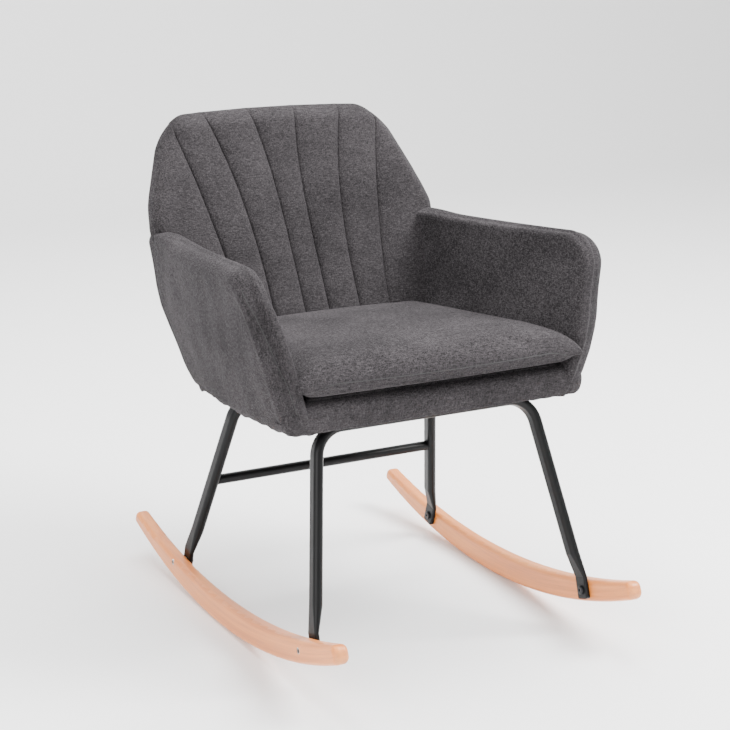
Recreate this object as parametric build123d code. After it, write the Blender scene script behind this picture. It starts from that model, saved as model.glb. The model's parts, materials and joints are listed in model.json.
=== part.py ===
"""Rocking chair: an upholstered tub seat on two bent-tube leg frames and two curved beech rockers.

Millimetres. +Z is up, the sitter faces -Y, and the sitter's left is +X. The origin is on the floor
at the middle of the chair's footprint. The seat is built in its own tilted plane, whose X is the
chair's X, whose Y runs from the front edge to the rear, and whose Z is the height above the underside.
"""
from build123d import *
import os
from math import copysign, cos, hypot, radians, sin, tan
from typing import NamedTuple


class LegFrame(NamedTuple):
    """One bent leg frame: its bolts, its lean and splay in degrees, and its cross tube's height."""

    bolt: tuple
    lean: float
    splay: float
    height: float


# Rockers: beech runners whose lower edge is one arc.
ROCKER_SPACING = 486
ROCKER_THICKNESS = 24
ROCKER_RADIUS = 1021
ROCKER_CONTACT_Y = 39
ROCKER_FRONT_ANGLE = -24.6
ROCKER_REAR_ANGLE = 19
ROCKER_MIDDLE_ANGLE = -3
ROCKER_FRONT_DEPTH = 27
ROCKER_MIDDLE_DEPTH = 42
ROCKER_REAR_DEPTH = 22
ROCKER_FRONT_TIP_RADIUS = 11
ROCKER_REAR_TIP_RADIUS = 9
ROCKER_EDGE_RADIUS = 8

# Leg frames: two bent tubes, each leaning away from the other towards the floor.
FRONT_FRAME = LegFrame(bolt=(-267.5, 68), lean=17.2, splay=9.2, height=302)
REAR_FRAME = LegFrame(bolt=(198.5, 40), lean=-17.2, splay=10.25, height=302.4)
TUBE_WIDTH = 25
TUBE_DEPTH = 15
TUBE_WALL = 1.2
LEG_BEND_RADIUS = 44
FOOT_X = ROCKER_SPACING / 2 - ROCKER_THICKNESS / 2 - 3.5
FOOT_THICKNESS = 7
FOOT_WIDTH = 27
FOOT_TOP = 20
FOOT_BELOW_BOLT = 14
FOOT_CORNER_RADIUS = 6
TAPER_TOP = 58
STRETCHER_HEIGHT = 151.8
STRETCHER_DIAMETER = 16
STRETCHER_WALL = 1.5

# Rocker bolts and their threaded inserts.
BOLT_DIAMETER = 6
BOLT_CLEARANCE = 0.6
HEAD_DIAMETER = 13.6
HEAD_HEIGHT = 3.3
HEAD_EDGE_RADIUS = 1.6
HEX_SOCKET = 4
HEX_SOCKET_DEPTH = 2.2
ROCKER_BOLT_LENGTH = 25
INSERT_DIAMETER = 10
INSERT_LENGTH = 23
INSERT_BORE_RADIUS = 3.15
INSERT_FIT = 0.05

# Reaches of the tools that cut or trim a solid, long enough to pass right through it.
DRILL_REACH = 30
TRIM_REACH = 20
HALF_SPACE = (900, 1600, 700)

# Seat frame: a plywood board with rails, tilted back and set up inside the upholstery's lower edge.
SEAT_FRONT_Y = -223.5
SEAT_FRONT_Z = 372.35
SEAT_TILT = 5.3
SEAT_FRONT_HALF = 205
SEAT_REAR_HALF = 184
SEAT_FRONT_EDGE = 12
SEAT_REAR_EDGE = 362
SHELL_BOTTOM = -7.3
COVER_THICKNESS = 1
BOARD_TOP = 16
RAIL_TOP = 37
RAIL_WIDTH = 20
CORNER_BLOCK = 45
CORNER_BLOCK_GAP = 4
DECK_TOP = 44.7
APRON_TOP = 39.7
APRON_EDGE_RADIUS = 7
DECK_GAP = 1.5
PLATE_THICKNESS = 3
PLATE_WIDTH = 70
PLATE_LENGTH = 46
PLATE_CORNER_RADIUS = 5
PLATE_X = 95
PLATE_OVERHANG = 10
SEAT_BOLT_PITCH = 40
SEAT_BOLT_OFFSET = 24
SEAT_BOLT_LENGTH = 20
WASHER_DIAMETER = 12
WASHER_THICKNESS = 1.5
HEX_HEAD = 10
HEX_HEAD_HEIGHT = 4
TEE_NUT_DIAMETER = 18
TEE_NUT_FLANGE = 1.2
TEE_NUT_BARREL_RADIUS = 4
TEE_NUT_BARREL = 8
SEAT_BOLT_FIT = 0.2

# Arms: flared slabs that bulge outwards. Each end section has the (y, z) of its lower and upper end,
# and its outer half-widths there.
ARM_THICKNESS = 37
ARM_FRONT_LOW = (-224.5, 365)
ARM_FRONT_HIGH = (-205, 600)
ARM_FRONT_HALVES = (230, 302)
ARM_REAR_LOW = (157.5, 329.7)
ARM_REAR_HIGH = (272.5, 571)
ARM_REAR_HALVES = (208, 263)
ARM_BULGE = 9
ARM_FRONT_CORNER_RADIUS = 85
ARM_EDGE_RADIUS = 10
ARM_BOARD_THICKNESS = 12
ARM_BOARD_INSET = 16
ARM_BOARD_CORNER_RADIUS = 60

# Back: a slab that leans back, wider at the arms and thicker towards the seat.
BACK_FOOT_Z = 325
BACK_TOP_Z = 750
BACK_TOP_CROWN = 9
BACK_SIDE_FALL = 0.36
BACK_REAR_FOOT_Y = 207.5
BACK_REAR_SLOPE = 0.437
BACK_FRONT_FOOT_Y = 110.5
BACK_FRONT_SLOPE = 0.5385
BACK_REAR_SAG = 16
BACK_FRONT_SAG = 20
BACK_HALF_SPAN = 280
BACK_FOOT_HALF = 206
BACK_ARM_HALF = 262
BACK_ARM_Z = 571
BACK_TOP_HALF = 197
BACK_CORNER_RADIUS = 42
BACK_EDGE_RADIUS = 12
BACK_RIM_LENGTH = 60
BACK_PAD_THICKNESS = 30
BACK_BOARD_THICKNESS = 12
BACK_WADDING = 5
BACK_COVER_THICKNESS = 2
BACK_WALL = 24
BACK_HOLLOW_TOP = 650
BACK_BOTTOM_RAIL_TOP = 20
BACK_LAYER_MARGIN = 30
BACK_LAYER_OUTSIDE = 20
BACK_OUTLINE_FOOT = -60
BACK_OUTLINE_REACH = 250

# Loose seat cushion.
CUSHION_BASE = DECK_TOP + 0.5
CUSHION_TOP = 96.7
CUSHION_FRONT = -23
CUSHION_REAR_LOW = 354
CUSHION_REAR_HIGH = 375
CUSHION_FRONT_HALF_LOW = 206
CUSHION_FRONT_HALF_HIGH = 218
CUSHION_REAR_HALF_LOW = 180
CUSHION_REAR_HALF_HIGH = 190
CUSHION_CORNER_RADIUS = 30
CUSHION_EDGE_RADIUS = 16
CUSHION_COVER_THICKNESS = 2

SEAT = Plane(
    origin=(0, SEAT_FRONT_Y, SEAT_FRONT_Z),
    x_dir=(1, 0, 0),
    z_dir=(0, sin(radians(SEAT_TILT)), cos(radians(SEAT_TILT))),
)


def seat_prism(outline, low, high):
    """Raise a closed outline, given as seat-plane points, from one seat height to another."""
    face = make_face(Polyline(*outline, close=True))
    return SEAT * extrude(Pos(0, 0, low) * face, high - low)


def seat_half(along, inset=0):
    """Half the seat frame's width at a distance from the seat's front edge."""
    share = along / SEAT_REAR_EDGE
    return SEAT_FRONT_HALF + (SEAT_REAR_HALF - SEAT_FRONT_HALF) * share - inset


def seat_trapezoid(front, rear, inset=0):
    """The seat frame's plan outline between two distances from the front edge."""
    near = seat_half(front, inset)
    far = seat_half(rear, inset)
    return [(-near, front), (near, front), (far, rear), (-far, rear)]


def above_seat(height):
    """Everything above a given height over the seat's underside."""
    slab = Box(*HALF_SPACE, align=(Align.CENTER, Align.CENTER, Align.MIN))
    return SEAT * (Pos(0, 0, height) * slab)


# Rockers


def rocker_point(angle, height):
    """A point in the rocker's plane, a height above its running edge, at an angle from the contact."""
    reach = ROCKER_RADIUS - height
    return (
        ROCKER_CONTACT_Y + reach * sin(radians(angle)),
        ROCKER_RADIUS - reach * cos(radians(angle)),
    )


def rocker_outline():
    front_low = rocker_point(ROCKER_FRONT_ANGLE, 0)
    front_high = rocker_point(ROCKER_FRONT_ANGLE, ROCKER_FRONT_DEPTH)
    rear_low = rocker_point(ROCKER_REAR_ANGLE, 0)
    rear_high = rocker_point(ROCKER_REAR_ANGLE, ROCKER_REAR_DEPTH)
    middle_high = rocker_point(ROCKER_MIDDLE_ANGLE, ROCKER_MIDDLE_DEPTH)
    running_edge = ThreePointArc(front_low, rocker_point(0, 0), rear_low)
    upper_edge = ThreePointArc(rear_high, middle_high, front_high)
    face = make_face([running_edge, Line(rear_low, rear_high), upper_edge, Line(front_high, front_low)])
    ends = face.vertices().sort_by(Axis.X)
    face = fillet(ends[:2], ROCKER_FRONT_TIP_RADIUS)
    ends = face.vertices().sort_by(Axis.X)
    return fillet(ends[-2:], ROCKER_REAR_TIP_RADIUS)


def along_x(radius, low, high, place):
    """A cylinder along X at a (y, z) place."""
    rod = Cylinder(radius, high - low, align=(Align.CENTER, Align.CENTER, Align.MIN))
    return Pos(low, place[0], place[1]) * (Rot(0, 90, 0) * rod)


def make_rocker(side):
    inner = ROCKER_SPACING / 2 - ROCKER_THICKNESS / 2
    blank = extrude(Plane.YZ.offset(inner) * rocker_outline(), ROCKER_THICKNESS)
    cheeks = blank.faces().filter_by(Axis.X)
    runner = fillet(cheeks.edges(), ROCKER_EDGE_RADIUS)
    for place in (FRONT_FRAME.bolt, REAR_FRAME.bolt):
        runner -= along_x(INSERT_DIAMETER / 2 + INSERT_FIT, inner - 1, inner + ROCKER_THICKNESS + 1, place)
    return runner if side > 0 else mirror(runner, Plane.YZ)


def on_both_sides(solid):
    """The solid and its mirror image across the chair's middle plane."""
    return [solid, mirror(solid, Plane.YZ)]


def make_rocker_inserts():
    inner = ROCKER_SPACING / 2 - ROCKER_THICKNESS / 2
    inserts = []
    for place in (FRONT_FRAME.bolt, REAR_FRAME.bolt):
        insert = along_x(INSERT_DIAMETER / 2, inner + 0.5, inner + 0.5 + INSERT_LENGTH, place)
        insert -= along_x(INSERT_BORE_RADIUS, inner, inner + ROCKER_THICKNESS + 1, place)
        inserts += on_both_sides(insert)
    return Compound(children=inserts)


def make_rocker_bolts():
    seat = FOOT_X - FOOT_THICKNESS / 2
    socket = extrude(RegularPolygon(HEX_SOCKET / 2, 6, major_radius=False), HEX_SOCKET_DEPTH)
    bolts = []
    for place in (FRONT_FRAME.bolt, REAR_FRAME.bolt):
        head = along_x(HEAD_DIAMETER / 2, seat - HEAD_HEIGHT, seat, place)
        head = fillet(head.edges().filter_by(GeomType.CIRCLE).sort_by(Axis.X)[0], HEAD_EDGE_RADIUS)
        bolt = head + along_x(BOLT_DIAMETER / 2, seat, seat + ROCKER_BOLT_LENGTH, place)
        bolt -= Pos(seat - HEAD_HEIGHT, place[0], place[1]) * (Rot(0, 90, 0) * socket)
        bolts += on_both_sides(bolt)
    return Compound(children=bolts)


# Leg frames


def leg_x(frame, up):
    """Distance of the leg's centre line from the middle plane, at a distance up from the bolt."""
    return FOOT_X - up * tan(radians(frame.splay))


def tube_end(frame, side):
    """The plane across one leg where its tube ends and its taper starts."""
    splay = radians(frame.splay)
    return Plane(
        origin=(side * leg_x(frame, TAPER_TOP), TAPER_TOP, 0),
        x_dir=(0, 0, 1),
        z_dir=(-side * sin(splay), cos(splay), 0),
    )


def leg_foot(frame, side):
    """The pressed end of one leg and the taper that joins it to the tube, in the frame's own plane."""
    pressed_end = Plane(origin=(side * FOOT_X, FOOT_TOP, 0), x_dir=(0, 0, 1), z_dir=(0, 1, 0))
    taper = loft([
        pressed_end * SlotOverall(FOOT_WIDTH, FOOT_THICKNESS),
        tube_end(frame, side) * SlotOverall(TUBE_WIDTH, TUBE_DEPTH),
    ])
    length = FOOT_TOP + FOOT_BELOW_BOLT
    flat = extrude(pressed_end * SlotOverall(FOOT_WIDTH, FOOT_THICKNESS), -length)
    trim = Box(FOOT_THICKNESS + 2, length + TRIM_REACH, FOOT_WIDTH)
    trim = fillet(trim.edges().filter_by(Axis.X), FOOT_CORNER_RADIUS)
    flat &= Pos(side * FOOT_X, (TRIM_REACH + FOOT_TOP - FOOT_BELOW_BOLT) / 2, 0) * trim
    hole = Cylinder(BOLT_DIAMETER / 2 + BOLT_CLEARANCE / 2, 3 * FOOT_THICKNESS)
    return taper + flat - Pos(side * FOOT_X, 0, 0) * (Rot(0, 90, 0) * hole)


def leg_frame_flat(frame):
    """One leg frame lying in its own plane: X across, Y up from the bolts."""
    end = leg_x(frame, TAPER_TOP)
    corner = leg_x(frame, frame.height)
    path = FilletPolyline(
        (-end, TAPER_TOP, 0),
        (-corner, frame.height, 0),
        (corner, frame.height, 0),
        (end, TAPER_TOP, 0),
        radius=LEG_BEND_RADIUS,
    )
    start = Plane(origin=path @ 0, x_dir=(0, 0, 1), z_dir=path % 0)
    section = SlotOverall(TUBE_WIDTH, TUBE_DEPTH)
    section -= SlotOverall(TUBE_WIDTH - 2 * TUBE_WALL, TUBE_DEPTH - 2 * TUBE_WALL)
    tube = sweep(start * section, path)
    return tube + leg_foot(frame, 1) + leg_foot(frame, -1)


def leg_plane(frame):
    """The plane that a leg frame lies in, through its two bolts."""
    tilt = radians(frame.lean)
    return Plane(origin=(0, *frame.bolt), x_dir=(1, 0, 0), z_dir=(0, -cos(tilt), sin(tilt)))


def make_leg_frame(frame):
    return leg_plane(frame) * leg_frame_flat(frame)


def make_stretcher():
    """The round tube between the rear legs, cut to their shape at its ends."""
    half = leg_x(REAR_FRAME, STRETCHER_HEIGHT)
    rod = Cylinder(STRETCHER_DIAMETER / 2, 2 * half)
    rod -= Cylinder(STRETCHER_DIAMETER / 2 - STRETCHER_WALL, 2 * half)
    rod = Pos(0, STRETCHER_HEIGHT, 0) * (Rot(0, 90, 0) * rod)
    for side in (-1, 1):
        rod -= extrude(tube_end(REAR_FRAME, side) * SlotOverall(TUBE_WIDTH, TUBE_DEPTH), STRETCHER_HEIGHT)
    return leg_plane(REAR_FRAME) * rod.solids().sort_by(SortBy.VOLUME)[-1]


def cross_tube_along(frame):
    """Where a leg frame's cross tube lies along the seat, from the front edge."""
    tilt = radians(frame.lean)
    y, z = frame.bolt
    middle = Vector(0, y + frame.height * sin(tilt), z + frame.height * cos(tilt))
    return SEAT.to_local_coords(middle).Y


def mounting_places(frame):
    """Seat-plane places of a frame's four seat bolts, on the side of its cross tube that faces the other."""
    along = cross_tube_along(frame) + copysign(SEAT_BOLT_OFFSET, frame.lean)
    return [
        (side * PLATE_X + step, along)
        for side in (-1, 1)
        for step in (-SEAT_BOLT_PITCH / 2, SEAT_BOLT_PITCH / 2)
    ]


def all_mounting_places():
    return mounting_places(FRONT_FRAME) + mounting_places(REAR_FRAME)


def make_mounting_plates(frame):
    """The two flat plates welded on a leg frame's cross tube, which reach in under the seat board."""
    middle = cross_tube_along(frame) + copysign(PLATE_LENGTH / 2 - PLATE_OVERHANG, frame.lean)
    hole = Cylinder(BOLT_DIAMETER / 2 + BOLT_CLEARANCE / 2, DRILL_REACH)
    plates = []
    for side in (-1, 1):
        plate = Box(PLATE_WIDTH, PLATE_LENGTH, PLATE_THICKNESS)
        plate = fillet(plate.edges().filter_by(Axis.Z), PLATE_CORNER_RADIUS)
        plates.append(Pos(side * PLATE_X, middle, -PLATE_THICKNESS / 2) * plate)
    drilled = plates[0] + plates[1]
    for x, along in mounting_places(frame):
        drilled -= Pos(x, along, 0) * hole
    return SEAT * drilled


# Seat frame and its fasteners


def at_seat_bolts(piece):
    """Copies of a piece, made in the seat plane, at every seat bolt."""
    return Compound(children=[SEAT * (Pos(x, along, 0) * piece) for x, along in all_mounting_places()])


def seat_bolt():
    under = -PLATE_THICKNESS - WASHER_THICKNESS
    head = extrude(RegularPolygon(HEX_HEAD / 2, 6, major_radius=False), -HEX_HEAD_HEIGHT)
    shank = Cylinder(BOLT_DIAMETER / 2, SEAT_BOLT_LENGTH, align=(Align.CENTER, Align.CENTER, Align.MIN))
    return Pos(0, 0, under) * (head + shank)


def seat_washer():
    hole = Cylinder(BOLT_DIAMETER / 2 + SEAT_BOLT_FIT, DRILL_REACH)
    ring = Cylinder(WASHER_DIAMETER / 2, WASHER_THICKNESS) - hole
    return Pos(0, 0, -PLATE_THICKNESS - WASHER_THICKNESS / 2) * ring


def tee_nut():
    flange = Pos(0, 0, BOARD_TOP + TEE_NUT_FLANGE / 2) * Cylinder(TEE_NUT_DIAMETER / 2, TEE_NUT_FLANGE)
    barrel = Pos(0, 0, BOARD_TOP - TEE_NUT_BARREL / 2) * Cylinder(TEE_NUT_BARREL_RADIUS, TEE_NUT_BARREL)
    bore = Cylinder(BOLT_DIAMETER / 2 + SEAT_BOLT_FIT / 2, DRILL_REACH)
    return flange + barrel - Pos(0, 0, BOARD_TOP) * bore


def drill_seat_bolts(solid, radius, low, high):
    for x, along in all_mounting_places():
        drill = Cylinder(radius, high - low, align=(Align.CENTER, Align.CENTER, Align.MIN))
        solid -= SEAT * (Pos(x, along, low) * drill)
    return solid


def make_seat_board():
    board = seat_prism(seat_trapezoid(SEAT_FRONT_EDGE, SEAT_REAR_EDGE), COVER_THICKNESS, BOARD_TOP)
    board = drill_seat_bolts(board, BOLT_DIAMETER / 2 + SEAT_BOLT_FIT, 0, BOARD_TOP)
    pocket = TEE_NUT_BARREL_RADIUS + SEAT_BOLT_FIT / 2
    return drill_seat_bolts(board, pocket, BOARD_TOP - TEE_NUT_BARREL - SEAT_BOLT_FIT / 2, BOARD_TOP + 1)


def make_cross_rail(front):
    return seat_prism(seat_trapezoid(front, front + RAIL_WIDTH, RAIL_WIDTH), BOARD_TOP, RAIL_TOP)


def make_side_rail(side):
    near = seat_half(SEAT_FRONT_EDGE)
    far = seat_half(SEAT_REAR_EDGE)
    outline = [
        (side * near, SEAT_FRONT_EDGE),
        (side * far, SEAT_REAR_EDGE),
        (side * (far - RAIL_WIDTH), SEAT_REAR_EDGE),
        (side * (near - RAIL_WIDTH), SEAT_FRONT_EDGE),
    ]
    return seat_prism(outline, BOARD_TOP, RAIL_TOP)


def make_corner_blocks():
    """Triangular glue blocks in the four inner corners of the rails."""
    blocks = []
    front = SEAT_FRONT_EDGE + RAIL_WIDTH
    rear = SEAT_REAR_EDGE - RAIL_WIDTH
    for along, inward in ((front, 1), (rear, -1)):
        corner = (seat_half(along, RAIL_WIDTH), along)
        down = (seat_half(along + inward * CORNER_BLOCK, RAIL_WIDTH), along + inward * CORNER_BLOCK)
        across = (corner[0] - CORNER_BLOCK, along)
        blocks += on_both_sides(seat_prism([corner, down, across], BOARD_TOP, RAIL_TOP - CORNER_BLOCK_GAP))
    return Compound(children=blocks)


def make_dust_cover():
    sheet = seat_prism(seat_trapezoid(SEAT_FRONT_EDGE, SEAT_REAR_EDGE), 0, COVER_THICKNESS)
    return drill_seat_bolts(sheet, BOLT_DIAMETER / 2 + 2 * SEAT_BOLT_FIT, -1, COVER_THICKNESS + 1)


def seat_core():
    """The space that the wooden seat frame takes up, and the recess below it."""
    return seat_prism(seat_trapezoid(SEAT_FRONT_EDGE, SEAT_REAR_EDGE), SHELL_BOTTOM - 1, RAIL_TOP)


# Arms


def arm_section(low, high, halves, inset, thickness, trim):
    """One end section of an arm: a slanted, bulging band in a plane that leans with the arm's edge.

    inset moves its outer side inwards and trim lowers its upper end.
    """
    edge = Vector(0, high[0] - low[0], high[1] - low[1])
    plane = Plane(origin=(0, low[0], low[1]), x_dir=(1, 0, 0), z_dir=Vector(1, 0, 0).cross(edge))
    top = edge.length - trim
    flare = (halves[1] - halves[0]) / edge.length
    outer_low = halves[0] - inset
    outer_high = outer_low + flare * top
    outer_middle = (outer_low + outer_high) / 2 + ARM_BULGE
    outer = ThreePointArc((outer_low, 0), (outer_middle, top / 2), (outer_high, top))
    inner = Pos(-thickness, 0) * outer
    return plane * make_face([outer, Line(outer @ 1, inner @ 1), inner, Line(inner @ 0, outer @ 0)])


def arm_slab(inset=0, thickness=ARM_THICKNESS, trim=0, front_trim=0):
    """An arm's slab on the sitter's left, from its front edge into the back."""
    low = (ARM_FRONT_LOW[0] + front_trim, ARM_FRONT_LOW[1])
    high = (ARM_FRONT_HIGH[0] + front_trim, ARM_FRONT_HIGH[1])
    front = arm_section(low, high, ARM_FRONT_HALVES, inset, thickness, trim)
    rear = arm_section(ARM_REAR_LOW, ARM_REAR_HIGH, ARM_REAR_HALVES, inset, thickness, trim)
    return loft([front, rear], ruled=True)


def front_upper_edge(slab):
    """The slab's edge between its front and its top."""
    crossways = slab.edges().filter_by(lambda edge: abs(edge.tangent_at(0.5).X) > 0.9)
    return crossways.sort_by(lambda edge: edge.center().Y - edge.center().Z)[0]


def arm_envelope():
    """The padded arm's whole outside, with its edges rounded."""
    slab = arm_slab()
    slab = fillet(front_upper_edge(slab), ARM_FRONT_CORNER_RADIUS)
    bottom = slab.faces().sort_by(Axis.Z)[0]
    rear = slab.faces().sort_by(Axis.Y)[-1]
    shared = bottom.edges() + rear.edges()
    rims = [
        edge
        for edge in slab.edges()
        if edge not in shared and abs(edge.tangent_at(0.5).X) < 0.9
    ]
    return fillet(rims, ARM_EDGE_RADIUS) & above_seat(SHELL_BOTTOM)


def arm_board():
    inset = (ARM_THICKNESS - ARM_BOARD_THICKNESS) / 2
    slab = arm_slab(inset, ARM_BOARD_THICKNESS, ARM_BOARD_INSET, ARM_BOARD_INSET)
    slab = fillet(front_upper_edge(slab), ARM_BOARD_CORNER_RADIUS)
    return slab & above_seat(COVER_THICKNESS)


# Back


def front_face(gap):
    """The back's front face at a height, and its sag, moved rearwards by a gap."""
    return lambda z: (BACK_FRONT_FOOT_Y + BACK_FRONT_SLOPE * (z - BACK_FOOT_Z) + gap, BACK_FRONT_SAG)


def rear_face(gap):
    """The back's rear face at a height, and its sag, moved forwards by a gap."""
    return lambda z: (BACK_REAR_FOOT_Y + BACK_REAR_SLOPE * (z - BACK_FOOT_Z) - gap, BACK_REAR_SAG)


def back_slice(z, near_face, far_face):
    """A level slice through the back between two of its curved faces."""
    span = BACK_HALF_SPAN
    near_y, near_sag = near_face(z)
    far_y, far_sag = far_face(z)
    near = ThreePointArc((-span, near_y - near_sag), (0, near_y), (span, near_y - near_sag))
    far = ThreePointArc((span, far_y - far_sag), (0, far_y), (-span, far_y - far_sag))
    return Pos(0, 0, z) * make_face([near, Line(near @ 1, far @ 0), far, Line(far @ 1, near @ 0)])


def back_layer(near_face, far_face, top=BACK_TOP_Z + BACK_LAYER_MARGIN):
    """The back's material between two of its curved faces, wider than the back itself."""
    return loft([
        back_slice(BACK_FOOT_Z - BACK_LAYER_MARGIN, near_face, far_face),
        back_slice(top, near_face, far_face),
    ])


def back_outline(inset=0):
    """The back's outline, drawn on its sloping front face, as a block that reaches through it.

    The block's sides fall towards the rear, so that the back's top is nearly square to its slope.
    """
    front = Plane(
        origin=(0, BACK_FRONT_FOOT_Y, BACK_FOOT_Z),
        x_dir=(1, 0, 0),
        z_dir=(0, -1, BACK_FRONT_SLOPE),
    )
    stretch = hypot(1, BACK_FRONT_SLOPE)
    foot = BACK_OUTLINE_FOOT
    arm = (BACK_ARM_Z - BACK_FOOT_Z) * stretch
    top = (BACK_TOP_Z - BACK_FOOT_Z) * stretch - inset
    shoulder = top - BACK_TOP_CROWN
    foot_half = BACK_FOOT_HALF + (BACK_ARM_HALF - BACK_FOOT_HALF) * foot / arm - inset
    arm_half = BACK_ARM_HALF - inset
    top_half = BACK_TOP_HALF - inset
    crown = ThreePointArc((top_half, shoulder), (0, top), (-top_half, shoulder))
    waist = ((foot_half + arm_half) / 2 + ARM_BULGE, (foot + arm) / 2)
    right = Line((top_half, shoulder), (arm_half, arm))
    lower_right = ThreePointArc((arm_half, arm), waist, (foot_half, foot))
    sides = [right, lower_right, mirror(right, Plane.YZ), mirror(lower_right, Plane.YZ)]
    face = make_face([crown, *sides, Line((-foot_half, foot), (foot_half, foot))])
    corners = face.vertices().group_by(Axis.Y)[-1]
    face = fillet(corners, BACK_CORNER_RADIUS - inset)
    return extrude(front * face, BACK_OUTLINE_REACH, dir=(0, 1, -BACK_SIDE_FALL), both=True)


def back_envelope():
    """The padded back's whole outside."""
    block = back_layer(front_face(0), rear_face(0)) & back_outline()
    upper = block.edges().filter_by(
        lambda edge: edge.center().Z > BACK_ARM_Z and edge.length > BACK_RIM_LENGTH
    )
    rims = upper.filter_by(lambda edge: abs(edge.tangent_at(0.5).Y) < 0.6)
    return fillet(rims, BACK_EDGE_RADIUS) & above_seat(SHELL_BOTTOM)


def back_board():
    """The curved board that the back's padding is glued to."""
    board_rear = BACK_PAD_THICKNESS + BACK_BOARD_THICKNESS
    board = back_layer(front_face(BACK_PAD_THICKNESS), front_face(board_rear))
    return board & back_outline(BACK_WALL) & above_seat(COVER_THICKNESS)


def back_hollow():
    """The wedge-shaped space between the back board and the outer cover."""
    board_rear = BACK_PAD_THICKNESS + BACK_BOARD_THICKNESS
    space = back_layer(front_face(board_rear), rear_face(BACK_WADDING), BACK_HOLLOW_TOP)
    return space & back_outline(BACK_WALL) & above_seat(COVER_THICKNESS)


# Cushion


def cushion_section(height, rear, front_half, rear_half, inset):
    front = CUSHION_FRONT + inset
    outline = Polyline(
        (-front_half + inset, front),
        (front_half - inset, front),
        (rear_half - inset, rear - inset),
        (-rear_half + inset, rear - inset),
        close=True,
    )
    face = make_face(outline)
    return SEAT * (Pos(0, 0, height) * fillet(face.vertices(), CUSHION_CORNER_RADIUS - inset))


def cushion_block(inset=0):
    """The cushion's block, wider towards the top like the space between the arms."""
    low = cushion_section(
        CUSHION_BASE + inset, CUSHION_REAR_LOW, CUSHION_FRONT_HALF_LOW, CUSHION_REAR_HALF_LOW, inset
    )
    high = cushion_section(
        CUSHION_TOP - inset, CUSHION_REAR_HIGH, CUSHION_FRONT_HALF_HIGH, CUSHION_REAR_HALF_HIGH, inset
    )
    block = loft([low, high])
    return fillet(block.faces().sort_by(Axis.Z)[-1].edges(), CUSHION_EDGE_RADIUS - inset)


def build():
    """Every piece of the chair, by node name."""
    wood = {
        "seat_board": make_seat_board(),
        "front_rail": make_cross_rail(SEAT_FRONT_EDGE),
        "rear_rail": make_cross_rail(SEAT_REAR_EDGE - RAIL_WIDTH),
        "side_rail_left": make_side_rail(1),
        "side_rail_right": make_side_rail(-1),
        "corner_blocks": make_corner_blocks(),
    }
    core = seat_core()
    board_behind = back_board()
    hollow = back_hollow()
    bottom_rail = hollow - above_seat(BACK_BOTTOM_RAIL_TOP)
    cover_layer = back_layer(rear_face(BACK_COVER_THICKNESS), rear_face(-BACK_LAYER_OUTSIDE))
    back_whole = back_envelope()
    arm_inside = arm_board() - core - board_behind - hollow
    arm_whole = arm_envelope() - back_whole - core
    arm_pad = arm_whole - arm_inside
    back_pad = back_whole - cover_layer - board_behind - hollow - core
    for board in on_both_sides(arm_inside):
        back_pad -= board
    inner_frame = seat_trapezoid(SEAT_FRONT_EDGE + RAIL_WIDTH, SEAT_REAR_EDGE - RAIL_WIDTH, RAIL_WIDTH)
    deck = seat_prism(inner_frame, BOARD_TOP + DECK_GAP, RAIL_TOP) - make_corner_blocks()
    deck += seat_prism(seat_trapezoid(SEAT_FRONT_EDGE, SEAT_REAR_EDGE), RAIL_TOP, DECK_TOP)
    apron = seat_prism(seat_trapezoid(0, SEAT_FRONT_EDGE), SHELL_BOTTOM, APRON_TOP)
    front_edges = apron.edges().filter_by(Axis.X).sort_by(lambda edge: edge.center().Y - edge.center().Z)
    apron = fillet(front_edges[0], APRON_EDGE_RADIUS)
    for solid in on_both_sides(arm_whole) + [back_whole]:
        deck -= solid
        apron -= solid
    foam = cushion_block(CUSHION_COVER_THICKNESS)
    return wood | {
        "rocker_left": make_rocker(1),
        "rocker_right": make_rocker(-1),
        "rocker_bolts": make_rocker_bolts(),
        "rocker_insert_nuts": make_rocker_inserts(),
        "front_leg_frame": make_leg_frame(FRONT_FRAME),
        "rear_leg_frame": make_leg_frame(REAR_FRAME),
        "rear_stretcher": make_stretcher(),
        "front_mounting_plates": make_mounting_plates(FRONT_FRAME),
        "rear_mounting_plates": make_mounting_plates(REAR_FRAME),
        "seat_bolts": at_seat_bolts(seat_bolt()),
        "seat_bolt_washers": at_seat_bolts(seat_washer()),
        "tee_nuts": at_seat_bolts(tee_nut()),
        "dust_cover": make_dust_cover(),
        "arm_board_left": arm_inside,
        "arm_board_right": mirror(arm_inside, Plane.YZ),
        "arm_pad_left": arm_pad,
        "arm_pad_right": mirror(arm_pad, Plane.YZ),
        "back_board": board_behind - core,
        "back_bottom_rail": bottom_rail,
        "back_pad": back_pad,
        "back_outer_cover": back_whole & cover_layer,
        "deck_pad": deck,
        "front_apron": apron,
        "seat_cushion_cover": cushion_block() - foam,
        "seat_cushion_foam": foam,
    }


os.makedirs("parts", exist_ok=True)
for name, solid in build().items():
    export_step(solid, f"parts/{name}.step")
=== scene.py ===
import json
import math

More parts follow.
